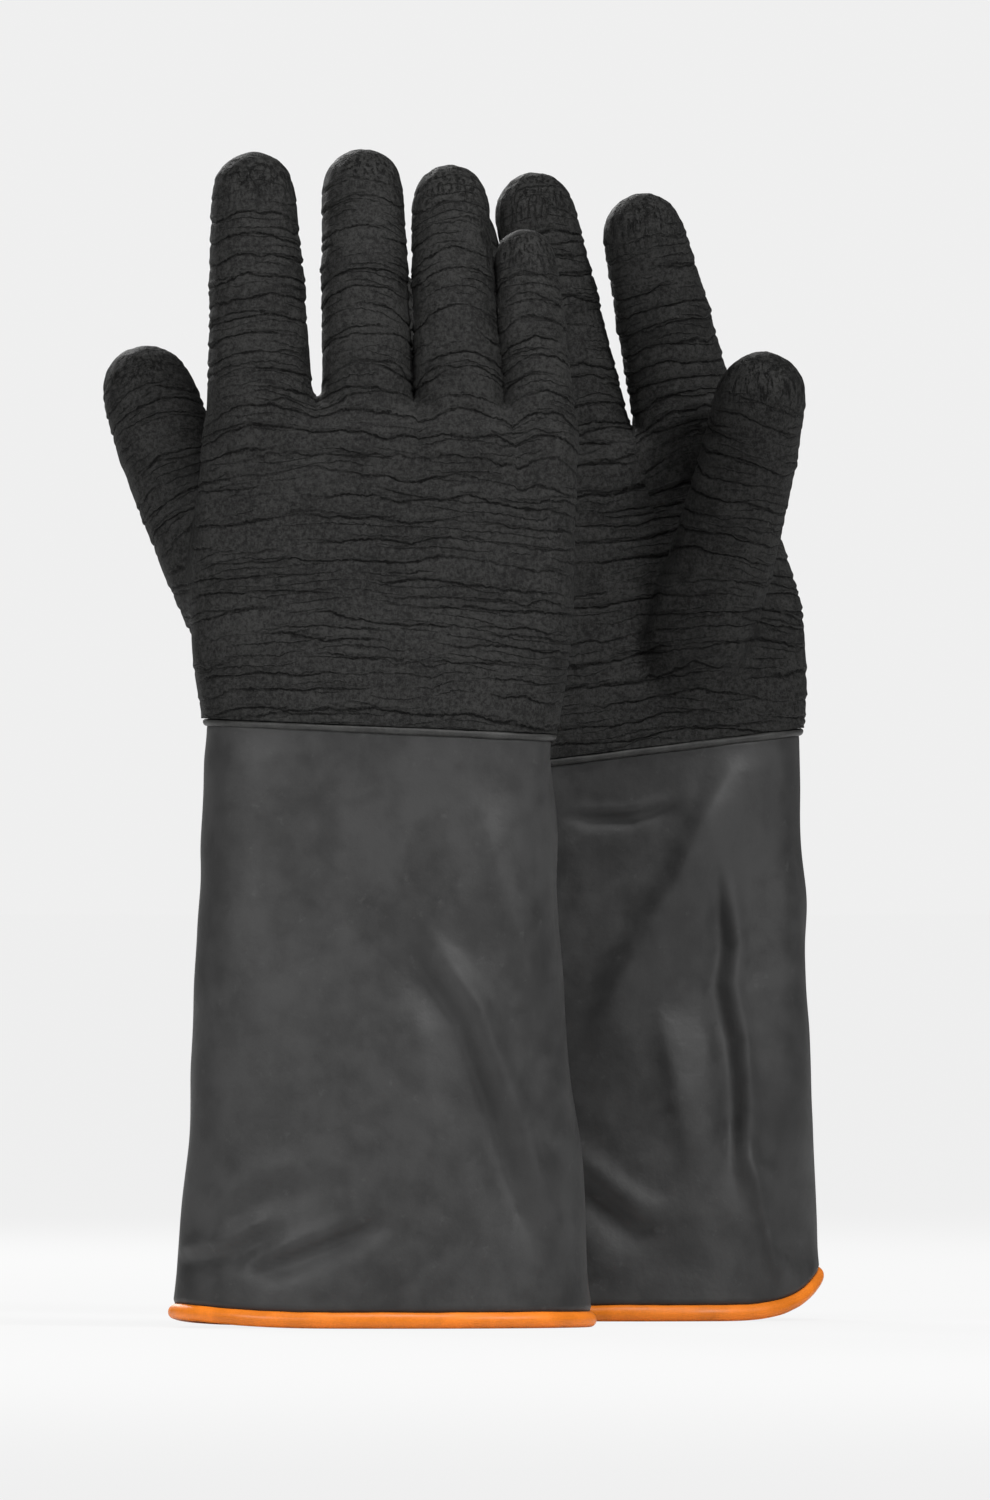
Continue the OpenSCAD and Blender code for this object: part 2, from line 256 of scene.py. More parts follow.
def merged_copy(node, name):
    """A copy of a solid's mesh with its loose triangles joined."""
    obj = bpy.data.objects.new(name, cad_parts[node].data.copy())
    bpy.context.scene.collection.objects.link(obj)
    obj.data.materials.clear()
    make_active(obj)
    if obj.data.has_custom_normals:
        bpy.ops.mesh.customdata_custom_splitnormals_clear()
    with edit_mode(obj, select_all=True):
        bpy.ops.mesh.remove_doubles(threshold=1e-6)
    return obj


def rim_of_tip(obj):
    """The middle of a digit piece's open end, and the way from there to its tip."""
    planes = {}
    for face in obj.data.polygons:
        height = face.normal.dot(face.center)
        plane = tuple(round(c, 2) for c in face.normal) + (round(height / MM / 2),)
        planes.setdefault(plane, []).append(face)
    # No other plane has as many faces as the rim's
    rim = max(planes.values(), key=len)
    corners = sorted({v for face in rim for v in face.vertices})
    centre = sum((obj.data.vertices[v].co for v in corners), Vector()) / len(corners)
    return centre, -rim[0].normal.copy()


def delete_faces(obj, choose):
    """Deletes the faces that choose picks out of a mesh's faces, and returns how many."""
    mesh = bmesh.new()
    mesh.from_mesh(obj.data)
    doomed = choose(mesh.faces)
    bmesh.ops.delete(mesh, geom=doomed, context="FACES")
    mesh.to_mesh(obj.data)
    mesh.free()
    return len(doomed)


def drop_flat_faces(obj, centre, along, reach):
    """Deletes the faces that lie in one plane near a point, and returns how many."""
    def is_near(vertex):
        away = vertex.co - centre
        return abs(away.dot(along)) < 0.12 * MM and away.length < reach

    return delete_faces(obj, lambda faces: [f for f in faces if all(map(is_near, f.verts))])


def islands(faces):
    """The connected groups among some faces of a bmesh."""
    left, found = set(faces), []
    while left:
        stack, island = [left.pop()], []
        while stack:
            face = stack.pop()
            island.append(face)
            for edge in face.edges:
                for other in edge.link_faces:
                    if other in left:
                        left.discard(other)
                        stack.append(other)
        found.append(island)
    return found


def keep_outermost(obj):
    """Keeps the outer one of a wall's two sides."""
    def reach(island):
        places = [v.co for f in island for v in f.verts]
        return sum(max(p[i] for p in places) - min(p[i] for p in places) for i in range(3))

    delete_faces(obj, lambda faces: [
        f for island in sorted(islands(faces), key=reach)[:-1] for f in island])


def cut_edges(obj, cuts, chosen):
    """Cuts those edges of a mesh that chosen, a test of an edge's two ends, picks."""
    with edit_mode(obj):
        bpy.ops.mesh.select_mode(type="EDGE")
        bpy.ops.mesh.select_all(action="DESELECT")
    for edge in obj.data.edges:
        edge.select = chosen(*(obj.data.vertices[v].co for v in edge.vertices))
    with edit_mode(obj):
        bpy.ops.mesh.subdivide(number_cuts=cuts)


def select_open_edges():
    """In edit mode, selects the edges of a mesh's openings alone."""
    bpy.ops.mesh.select_mode(type="EDGE")
    bpy.ops.mesh.select_all(action="DESELECT")
    bpy.ops.mesh.select_non_manifold(extend=False, use_wire=False, use_multi_face=False,
                                     use_non_contiguous=False, use_verts=False)


# ---- The crinkled hands ----

class Digit:
    """Where one digit lies: its bend, its direction, its sideways direction and its radius."""

    def __init__(self, tip, centre, along):
        self.centre = np.array(centre)
        self.along = np.array(along.normalized())
        side = Vector((0, 1, 0)).cross(along).normalized()
        self.side = np.array(side)
        places = points_of(tip) - self.centre
        self.length = float((places @ self.along).max())
        self.tip = self.centre + places[(places @ self.along).argmax()]
        near = places[(places @ self.along) < 1 * MM]
        self.radius = float(np.abs(near @ self.side).max())

    def up(self, places):
        """How far places lie over the bend."""
        return (places - self.centre) @ self.along

    def across(self, places):
        """How far places lie to the side of the middle line."""
        return (places - self.centre) @ self.side

    def closeness(self, places, down):
        """Distance from the digit's middle line over its radius. down is how far the line
        runs below the bend."""
        start = self.centre - down * self.along
        line = self.tip - start
        share = np.clip((places - start) @ line / (line @ line), 0, 1)
        return np.linalg.norm(places - start - share[:, None] * line, axis=1) / self.radius


def closed_hand(glove):
    """The outside of a hand's coat and digits as one closed mesh, and where its digits are."""
    hand = merged_copy(f"{glove}_hand_coat", f"{glove}_hand")
    digits, tips = {}, []
    for name in DIGITS:
        tip = merged_copy(f"{glove}_{name}_tip", f"{glove}_{name}_copy")
        centre, along = rim_of_tip(tip)
        digits[name] = Digit(tip, centre, along)
        drop_flat_faces(tip, centre, along, RIM_REACH)
        keep_outermost(tip)
        # Digits are slimmed while the hand is remeshed, so that two that touch don't join
        push_out(tip, -SLIMMING * ease(SLIM_FROM, SLIM_FULL, digits[name].up(points_of(tip))))
        # The hand's own rim lies just under the digit's, across the gap that the bend needs
        for gap in RIM_GAPS:
            if drop_flat_faces(hand, centre - gap * along, along, RIM_REACH):
                break
        else:
            raise RuntimeError(f"no rim for {glove} {name}")
        tips.append(tip)
    foot = min((f for f in hand.data.polygons if f.normal.z < -0.95), key=lambda f: f.center.z)
    up = -foot.normal.copy()
    rim = [v.co for v in hand.data.vertices if abs((v.co - foot.center).dot(up)) < 0.1 * MM]
    foot_centre = sum(rim, Vector()) / len(rim)
    drop_flat_faces(hand, foot_centre, up, 1.0)
    keep_outermost(hand)

    make_active(hand)
    for tip in tips:
        tip.select_set(True)
    bpy.ops.object.join()
    with edit_mode(hand):
        # The rims of the hand and its digits join across their gaps
        select_open_edges()
        bpy.ops.mesh.remove_doubles(threshold=max(RIM_GAPS) + 0.05 * MM)
        # The foot runs on down into the gauntlet while the hand is smoothed
        select_open_edges()
        bpy.ops.mesh.extrude_region_move(
            TRANSFORM_OT_translate={"value": tuple(-14 * MM * up)})
        bpy.ops.mesh.edge_face_add()
        bpy.ops.mesh.select_all(action="SELECT")
        bpy.ops.mesh.quads_convert_to_tris()
    mesh = bmesh.new()
    mesh.from_mesh(hand.data)
    holes = sum(edge.is_boundary for edge in mesh.edges)
    mesh.free()
    if holes:
        raise RuntimeError(f"{glove} hand has {holes} open edges")
    return hand, digits, foot_centre, up


def keep_vectors(obj, name, values):
    """Keeps three numbers for each vertex as an attribute."""
    attribute = obj.data.attributes.new(name, "FLOAT_VECTOR", "POINT")
    attribute.data.foreach_set("vector", values.astype(np.float32).ravel())


def arch(digit, places, drop):
    """How far a crease drops from a digit's middle to each place, by drop at its edge."""
    return drop * np.minimum(np.abs(digit.across(places)) / digit.radius, 1.3) ** 2


def crease_height(places, digits, foot, up, thumb_side):
    """How far along the hand or digit each point lies, in metres, as the creases run. Where
    this is the same, a crease would run if it didn't wander."""
    wrist = np.array(foot)
    upward = np.array(up)
    sideways = np.array(Vector((0, 1, 0)).cross(up).normalized())
    across = (places - wrist) @ sideways
    height = (places - wrist) @ upward
    # Creases drop towards the edges of the palm, most on the thumb's side
    edge = across / (66 * MM)
    to_thumb = edge * thumb_side > 0
    height = height + np.where(to_thumb, 7 * MM, 3 * MM) * np.abs(edge) ** 3

    fingers = [digits[name] for name in DIGITS[:-1]]
    near = np.array([d.closeness(places, 75 * MM) for d in fingers])
    owner = near.argmin(axis=0)
    for number, digit in enumerate(fingers):
        mine = owner == number
        along = digit.up(places[mine])
        arc = arch(digit, places[mine], 3.6 * MM)
        base = float((digit.centre - wrist) @ upward)
        share = ease(-60 * MM, -32 * MM, along)
        fade = ease(-62 * MM, -34 * MM, along)
        height[mine] = ((1 - share) * height[mine] + share * (along + base)) + fade * arc

    thumb = digits["thumb"]
    share = 1 - ease(1.0, 1.3, thumb.closeness(places, 30 * MM))
    share *= ease(-48 * MM, -22 * MM, thumb.up(places))
    base = float((thumb.centre - wrist) @ upward)
    along = thumb.up(places) + base + arch(thumb, places, 3.0 * MM)
    return (1 - share) * height + share * along


def crinkle(hand, digits, foot, up, glove, sizes):
    """Presses the creases into a hand, and keeps them as attributes for the rubber's finish."""
    places = points_of(hand)
    thumb_side = -1 if glove == "front" else 1
    height = crease_height(places, digits, foot, up, thumb_side)
    seed = CREASE_SEEDS[glove]

    # The last 26 mm of a digit have wrinkles along it in place of creases
    up_tip = np.max([np.where(d.closeness(places, 0) < 1.4,
                              1 - (d.length - d.up(places)) / (26 * MM), 0)
                     for d in digits.values()], axis=0)
    at_tip = ease(0, 0.8, up_tip)

    # Two sets of creases, each a row number and a depth at each point: main and lesser ones
    rows, depths = [], []
    relief = np.zeros(len(places))
    for number, (pitch, low, high, most) in enumerate((
            (sizes.crease_pitch, -0.6, 0.15, 1.0),
            (sizes.crease_pitch * 1.4, -0.15, 0.4, 0.85))):
        s = seed + 100 * number
        wander = (2.2 * noise(places, 27, s + 1) + 1.3 * noise(places, 10, s + 2)
                  + 0.75 * noise(places, 4, s + 3) + 2.8 * noise(places, (90, 90, 17), s + 4))
        row = (height + wander * MM) / (pitch * MM)
        line = np.floor(row)
        # Each line has a strong or weak stretch of its own
        seeded = np.column_stack([places[:, 0], places[:, 1], line * 5.37 * MM])
        depth = ease(low, high, noise(seeded, (20, 28, 1), s + 5)) * most * (1 - 0.75 * at_tip)
        offset = (row - line - 0.5) * pitch
        groove = np.exp(-(offset / 0.7) ** 2)
        lip = np.exp(-((offset - 1.3) / 1.0) ** 2)
        relief += depth * sizes.crease_depth * (0.6 * lip - groove)
        rows.append(row)
        depths.append(depth)
    # Fine creases are drawn by the finish alone
    wander = 2.6 * noise(places, 22, seed + 12) + 0.9 * noise(places, 6, seed + 13)
    rows.append((height + wander * MM) / (sizes.hair_pitch * MM))

    relief += (0.42 * noise(places, 21, seed + 7) + 0.2 * noise(places, 8, seed + 8)
               + 0.05 * noise(places, 2.2, seed + 9))
    streaks = noise(places, (1.7, 2.2, 9), seed + 10)
    relief += at_tip * 0.25 * streaks

    keep_vectors(hand, "crease_rows", np.column_stack(rows))
    keep_vectors(hand, "crease_depths", np.column_stack([*depths, at_tip]))
    push_out(hand, relief * MM)


def nearest_digit(places, digits):
    """For each place, the number of the digit it is nearest to, how near it is in radii, and how
    far it lies over that digit's bend."""
    near = np.array([d.closeness(places, ROOT_REACH) for d in digits.values()])
    up = np.array([d.up(places) for d in digits.values()])
    nearest = near.argmin(axis=0)
    every = np.arange(len(places))
    return nearest, near[nearest, every], up[nearest, every]


def share_faces(hand, digits):
    """The number of the digit that each face of a hand goes with, or 0 for the palm."""
    centres = vectors(hand.data.polygons, "center")
    nearest, near, up = nearest_digit(centres, digits)
    beyond = (up > -SKIN_START) & (near < DIGIT_REACH)
    mesh = bmesh.new()
    mesh.from_mesh(hand.data)
    mesh.faces.ensure_lookup_table()

    def beside(number):
        return [other.index for edge in mesh.faces[number].edges for other in edge.link_faces]

    # Each digit is found outwards from its tip
    owner = np.zeros(len(centres), np.int32)
    for place, digit in enumerate(digits.values()):
        inside = beyond & (nearest == place)
        away = np.where(inside, np.linalg.norm(centres - digit.tip, axis=1), 1.0)
        stack = [int(away.argmin())]
        owner[stack[0]] = place + 1
        while stack:
            for other in beside(stack.pop()):
                if inside[other] and not owner[other]:
                    owner[other] = place + 1
                    stack.append(other)
    # What is left beyond the bends, as where two digits touch, goes with the digit beside it,
    # and so do the few faces that the digits cut off from the palm
    left = {int(number) for number in np.nonzero(beyond & (owner == 0))[0]}
    palm = sorted(islands([f for f in mesh.faces if not owner[f.index]]), key=len)
    left.update(f.index for island in palm[:-1] for f in island)
    grown = True
    while grown:
        grown = [(number, owners) for number in sorted(left)
                 if (owners := [int(owner[n]) for n in beside(number) if owner[n]])]
        for number, owners in grown:
            owner[number] = max(sorted(set(owners)), key=owners.count)
            left.discard(number)
    mesh.free()
    return owner


def keep_shading(piece):
    """Uses the whole hand's normals, so that no seam shows where the pieces meet."""
    attribute = piece.data.attributes["whole_normal"]
    normals = vectors(attribute.data, "vector")
    piece.data.attributes.remove(attribute)
    piece.data.normals_split_custom_set_from_vertices(normals)


def make_hand(glove, sizes):
    """One glove's crinkled hand, as a palm piece and five digit pieces."""
    hand, digits, foot, up = closed_hand(glove)
    hand.data.remesh_voxel_size = sizes.skin_detail * MM
    hand.data.remesh_voxel_adaptivity = 0
    make_active(hand)
    bpy.ops.object.voxel_remesh()
    apply_modifier(hand, "SMOOTH", factor=0.5, iterations=sizes.skin_rounds)
    places = points_of(hand)
    # Smoothing shrank the hand, most at its digits, and the slimming is undone
    at_digit = np.min([d.closeness(places, 45 * MM) for d in digits.values()], axis=0)
    swell = 0.35 * MM + 0.55 * MM * (1 - ease(1.0, 1.5, at_digit))
    _, near, above = nearest_digit(places, digits)
    swell += SLIMMING * ease(SLIM_FROM, SLIM_FULL, above) * (1 - ease(1.2, 1.45, near))
    push_out(hand, swell)
    crinkle(hand, digits, foot, up, glove, sizes)

    # The coat's lower edge, with the rubber's thickness turned in under it
    with edit_mode(hand, select_all=True):
        bpy.ops.mesh.bisect(plane_co=foot, plane_no=up, clear_inner=True)
        select_open_edges()
        bpy.ops.mesh.extrude_region_move(TRANSFORM_OT_translate={"value": (0, 0, 0)})
        low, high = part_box(f"{glove}_coat_edge_band")
        bpy.ops.transform.resize(value=(0.975, 0.93, 1),
                                 center_override=tuple((Vector(low) + Vector(high)) / 2))
    keep_vectors(hand, "whole_normal", normals_of(hand))

    pieces = {}
    owner = share_faces(hand, digits)
    for number, name in enumerate(digits, 1):
        hand.data.polygons.foreach_set("select", owner == number)
        owner = owner[owner != number]
        with edit_mode(hand):
            bpy.ops.mesh.select_mode(type="FACE")
            bpy.ops.mesh.separate(type="SELECTED")
        piece = next(o for o in bpy.context.selected_objects if o != hand)
        piece.name = piece.data.name = f"{glove}_{name}_skin"
        pieces[name] = piece
    hand.name = hand.data.name = f"{glove}_palm_skin"

    finish_piece(hand, "crinkled_coat", f"{glove}_glove")
    keep_shading(hand)
    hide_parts(f"{glove}_hand_coat")
    for name, piece in pieces.items():
        finish_piece(piece, "crinkled_coat")
        keep_shading(piece)
        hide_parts(f"{glove}_{name}_tip")
        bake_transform(piece)


# ---- The gauntlets, beads and bands ----

def as_quads(obj):
    """Joins a mesh's triangles in pairs."""
    with edit_mode(obj, select_all=True):
        bpy.ops.mesh.tris_convert_to_quads(face_threshold=math.radians(60),
                                           shape_threshold=math.radians(100))


def outer_wall(obj):
    """Deletes all but a sleeve's outer wall."""
    places = points_of(obj)
    middle = Vector((places.min(axis=0) + places.max(axis=0)) / 2)

    def faces_out(face):
        away = face.calc_center_median() - middle
        away.z = 0
        return face.normal.dot(away.normalized()) >= 0.5

    delete_faces(obj, lambda faces: [f for f in faces if not faces_out(f)])


# The folds that the photograph shows: the image point that each hangs on, its line from there in
# mm across and up, then its width, its height and the height beside it, on the right or above.
# A height below 0 is a hollow. The side of a fold that faces left or down is the steep one.
FOLDS = {
    "front": (
        ("front_long_fold", ((-24, 40), (-17.5, 25), (0, 0), (14, -37.7), (24.8, -72), (28, -88)),
         4.0, -4.2, 2.8),
        ("front_side_ridge", ((-13, 42), (-9.4, 28), (0, 0), (10.8, -37.3), (13, -50)),
         4.0, 2.2, -0.6),
        ("front_low_fold", ((-28, -11.5), (-20.2, -8.4), (-8, -4.5), (5.9, 1), (18.5, 6.3),
                            (28, 9)), 2.4, -3.0, 0.9),
        ("front_low_fold", ((-55, -8), (-46.8, -5.9), (-31.4, -2.8), (-18.8, 3.1), (-10, 8)),
         2.4, -2.4, 0.7),
        ("front_low_fold", ((-38, 3), (-31.4, 9.4), (-18.8, 17.5), (-6.3, 19.5), (3, 19)),
         3.6, -1.5, 0.8),
        ("front_low_fold", ((4, 12), (14, 18), (24, 19)), 6.0, 1.3, 0.0),
    ),
    "rear": (
        ("rear_wrist_fold", ((-26, -1), (-18.5, 0), (0, 0), (12.6, 3.8), (18, 7)), 1.5, -2.0, 0.7),
        ("rear_slant_ridge", ((25, 50), (20.2, 39), (9, 20.6), (0, 0), (-15.7, -28),
                              (-28.3, -49.6), (-36, -62)), 5.0, 4.4, -1.6),
        ("rear_upright_fold", ((-8, 74), (-5, 56), (-2, 33), (-4, 19), (0, 0), (1.7, -22),
                               (1, -45), (4, -66)), 2.5, -3.0, 1.8),
        ("rear_upright_fold", ((20, 80), (21, 50), (21, 0), (18, -40), (20, -60)), 5.0, 1.6, 0.0),
        ("rear_upright_fold", ((-26, 16), (-23.4, 3.1), (-15.4, -37.3), (-14, -52)),
         4.0, 1.8, -0.8),
        ("rear_low_ridge", ((-9, 40), (-5.9, 28.3), (0, 0), (4.9, -12.2), (9, -22)),
         2.6, 2.4, -1.8),
        ("rear_low_hollow", ((-24, 13), (-14, 7), (6, -8.7), (22, -12)), 3.6, -3.2, 1.6),
    ),
}


def beside_line(flat, corners):
    """How far points lie from a broken line, the same with a sign for its side (above 0 on the
    right or above), and the share of the line's length at which they lie."""
    nearest = np.full(len(flat), 1.0)
    side, run = np.zeros(len(flat)), np.zeros(len(flat))
    lengths = np.linalg.norm(np.diff(corners, axis=0), axis=1)
    start_run = 0.0
    for start, end, length in zip(corners[:-1], corners[1:], lengths):
        step = (end - start) / length
        share = np.clip((flat - start) @ step, 0, length)
        away = flat - start - share[:, None] * step
        distance = np.linalg.norm(away, axis=1)
        closer = distance < nearest
        nearest = np.where(closer, distance, nearest)
        across = away[:, 0] if abs(step[1]) > abs(step[0]) else away[:, 1]
        side = np.where(closer, np.sign(across) * distance, side)
        run = np.where(closer, start_run + share, run)
        start_run += length
    return nearest, side, run / lengths.sum()


def press_folds(obj, glove):
    """Shapes a gauntlet's folds and its soft unevenness. Returns where its points were, how far
    each moved, and its way outwards where the gauntlet isn't held."""
    places = points_of(obj)
    normals = normals_of(obj)
    tree = BVHTree.FromPolygons([v.co for v in obj.data.vertices],
                                [p.vertices for p in obj.data.polygons])
    middle = (places.min(axis=0) + places.max(axis=0)) / 2
    towards_camera = ease(0.0, 0.5, -normals[:, 1])
    relief = np.zeros(len(places))
    for point, line, width, height, beside in FOLDS[glove]:
        anchor = place_at(point, tree)
        corners = np.array([(anchor.x, anchor.z)]) + np.array(line) * MM
        nearest, side, run = beside_line(places[:, (0, 2)], corners)
        taper = ease(0, 0.28, run) * (1 - ease(0.72, 1, run))
        steep, gentle = 0.95 * width * MM, 2.4 * width * MM
        slope = np.where((side < 0) == (height > 0), steep, gentle)
        away = 2.3 * (steep if height < 0 else gentle)
        relief += towards_camera * taper * (
            height * np.exp(-(nearest / slope) ** 2)
            + beside * np.exp(-((side - away) / (0.6 * away)) ** 2))
    seed = FOLD_SEEDS[glove]
    leaning = places.copy()
    leaning[:, 2] += 0.5 * (places[:, 0] - middle[0])
    behind = 1 - towards_camera
    relief += behind * (1.5 * noise(leaning, (34, 40, 30), seed)
                        + 0.7 * noise(leaning, (15, 20, 22), seed + 1))
    relief += 0.6 * noise(places, 38, seed + 2) + 0.28 * noise(leaning, 15, seed + 3)
    # Both ends are held in place
    low, high = places[:, 2].min(), places[:, 2].max()
    held = ease(low, low + 14 * MM, places[:, 2]) * (1 - ease(high - 12 * MM, high, places[:, 2]))
    moved = normals * (relief * held * MM)[:, None]
    set_points(obj, places + moved)
    return places, moved, normals * held[:, None]


def make_gauntlet(glove):
    """One smooth gauntlet with its folds, and the lining inside it."""
    obj = merged_copy(f"{glove}_gauntlet_shell", f"{glove}_gauntlet")
    outer_wall(obj)
    as_quads(obj)
    apply_modifier(obj, "SUBSURF", levels=2, render_levels=2)
    with edit_mode(obj, select_all=True):
        bpy.ops.mesh.subdivide(number_cuts=2)
    # Upright edges are cut again, so that the faces come out nearly square
    cut_edges(obj, 2, lambda a, b: abs(b.z - a.z) > 0.6 * (b - a).length)
    apply_modifier(obj, "SMOOTH", factor=0.5, iterations=12)
    places, moved, outward = press_folds(obj, glove)
    make_lining(glove, places, moved - outward * LINING_SINK)
    # The foot runs on into the bead, and the top in under the crinkled coat
    for at_top, rise in ((False, -2.4), (True, 4.0)):
        extend_sleeve(obj, at_top, rise)
    apply_modifier(obj, "SOLIDIFY", thickness=GAUNTLET_WALL, offset=-1, use_even_offset=True)
    finish_piece(obj, "smooth_gauntlet", f"{glove}_glove")
    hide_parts(f"{glove}_gauntlet_shell")


def make_lining(glove, places, moved):
    """The orange lining, which goes where the points of its gauntlet nearest to it moved."""
    obj = merged_copy(f"{glove}_inner_layer", f"{glove}_lining")
    with edit_mode(obj):
        bpy.ops.mesh.select_mode(type="FACE")
        bpy.ops.mesh.select_all(action="DESELECT")
    top = places[:, 2].max() + 2 * MM
    for face in obj.data.polygons:
        face.select = bool(face.center.z < top)
    with edit_mode(obj):
        bpy.ops.mesh.subdivide(number_cuts=7)
    cut_edges(obj, 1, lambda a, b: (b - a).length > LINING_EDGE and max(a.z, b.z) < GAUNTLET_TOP)
    tree = KDTree(len(places))
    for number, place in enumerate(places):
        tree.insert(place, number)
    tree.balance()
    shape = points_of(obj)
    for number in np.nonzero(shape[:, 2] < top)[0]:
        near = tree.find_n(shape[number], 4)
        weights = np.array([1 / (distance + 1e-6) for _, _, distance in near])
        shift = moved[[index for _, index, _ in near]]
        shape[number] += (weights @ shift) / weights.sum()
    set_points(obj, shape)
    finish_piece(obj, "orange_lining", f"{glove}_glove")
    obj.data.shade_flat()
    make_active(obj)
    bpy.ops.object.shade_smooth_by_angle(angle=math.radians(40))
    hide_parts(f"{glove}_inner_layer")


def extend_sleeve(obj, at_top, rise):
    """Draws one end of a sleeve up by some mm, or down, and a little in."""
    with edit_mode(obj):
        select_open_edges()
    heights = [v.co.z for v in obj.data.vertices]
    middle = (min(heights) + max(heights)) / 2
    for edge in obj.data.edges:
        above = obj.data.vertices[edge.vertices[0]].co.z > middle
        edge.select = edge.select and above == at_top
    for vertex in obj.data.vertices:
        vertex.select = False
    with edit_mode(obj):
        bpy.ops.mesh.select_mode(type="EDGE")
        bpy.ops.mesh.extrude_region_move(TRANSFORM_OT_translate={"value": (0, 0, rise * MM)})
        bpy.ops.transform.resize(value=(0.99, 0.98, 1))


def round_copy(node, name):
    """A finer, rounder copy of a solid that runs round a glove, and the places of its points."""
    obj = merged_copy(node, name)
    as_quads(obj)
    apply_modifier(obj, "SUBSURF", levels=3, render_levels=3)
    return obj, points_of(obj)


def make_bead(glove):
    """The rolled orange bead, a little uneven but flat underneath."""
    obj, places = round_copy(f"{glove}_cuff_bead", f"{glove}_rolled_bead")
    relief = 0.22 * noise(places, 14, 71) + 0.1 * noise(places, 5, 72)
    push_out(obj, relief * ease(0.5 * MM, 2.5 * MM, places[:, 2]) * MM)
    finish_piece(obj, "orange_bead", f"{glove}_glove")
    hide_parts(f"{glove}_cuff_bead")


def make_band(glove):
    """The light band at the coat's lower edge, a little uneven."""
    obj, places = round_copy(f"{glove}_coat_edge_band", f"{glove}_edge_band")
    relief = 0.15 * noise(places, 12, 81) + 0.08 * noise(places, 3, 82) + 0.25
    push_out(obj, relief * MM)
    finish_piece(obj, "coat_edge", f"{glove}_glove")
    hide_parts(f"{glove}_coat_edge_band")


# ---- Finishes ----

def add_node(tree, kind, inputs=None, **settings):
    """Adds a shader node. Each input is a value, or a socket to link to it."""
    node = tree.nodes.new("ShaderNode" + kind)
    for name, value in settings.items():
        setattr(node, name, value)
    for name, value in (inputs or {}).items():
        if isinstance(value, bpy.types.NodeSocket):
            tree.links.new(value, node.inputs[name])
        else:
            node.inputs[name].default_value = value
    return node


class Finish:
    """Builds one material's nodes."""

    def __init__(self, name, colour, roughness, specular):
        self.material = bpy.data.materials.new(name)
        self.material.use_nodes = True
        self.tree = self.material.node_tree
        self.shader = self.tree.nodes["Principled BSDF"]
        self.shader.inputs["Base Color"].default_value = (*colour, 1)
        self.shader.inputs["Roughness"].default_value = roughness
        self.shader.inputs["Specular IOR Level"].default_value = specular
        self.place = self.add("TexCoord").outputs["Object"]

    def add(self, kind, inputs=None, **settings):
        return add_node(self.tree, kind, inputs, **settings)

    def sum(self, a, b, how="ADD"):
        """Adds two values, or joins them by another kind of sum."""
        return self.add("Math", {0: a, 1: b}, operation=how).outputs[0]

    def times(self, a, b):
        return self.sum(a, b, "MULTIPLY")

    def of(self, value, how):
        """What a kind of sum makes of one value."""
        return self.add("Math", {0: value}, operation=how).outputs[0]

    def kept(self, name):
        """The three numbers that the mesh keeps under a name."""
        vector = self.add("Attribute", attribute_name=name).outputs["Vector"]
        return self.add("SeparateXYZ", {0: vector}).outputs

    def lumps(self, size, detail=2.0, roughness=0.5, stretch=None):
        """Noise from 0 to 1 with lumps of a size in mm, drawn out each way by stretch."""
        place = self.place
        if stretch:
            place = self.add("Mapping", {"Vector": place, "Scale": stretch},
                             vector_type="TEXTURE").outputs[0]
        return self.add("TexNoise", {
            "Vector": place, "Scale": 1 / (size * MM), "Detail": detail,
            "Roughness": roughness}).outputs["Fac"]

    def spread(self, value, low, high, to_low=0.0, to_high=1.0):
        """A smooth step from to_low, where the value is low, to to_high, where it is high."""
        return self.add("MapRange", {
            "Value": value, "From Min": low, "From Max": high, "To Min": to_low,
            "To Max": to_high}, interpolation_type="SMOOTHSTEP").outputs[0]

    def paint(self, under, over, share):
        """Lays one colour over another, or over what is painted so far."""
        if not isinstance(under, bpy.types.NodeSocket):
            under = (*under, 1)
        return self.add("Mix", {"Factor": share, "A": under, "B": (*over, 1)},
                        data_type="RGBA").outputs["Result"]

    def colour(self, socket):
        """Gives the rubber its colour."""
        self.tree.links.new(socket, self.shader.inputs["Base Color"])

    def rough(self, socket):
        """Gives the rubber its roughness."""
        self.tree.links.new(socket, self.shader.inputs["Roughness"])

    def bump(self, height_mm):
        """Gives the rubber its fine relief."""
        node = self.add("Bump", {"Height": height_mm, "Distance": MM, "Strength": 1.0})
        self.tree.links.new(node.outputs["Normal"], self.shader.inputs["Normal"])


def shade(colour, factor):
    """A colour made lighter or darker."""
    return tuple(min(1.0, c * factor) for c in colour)


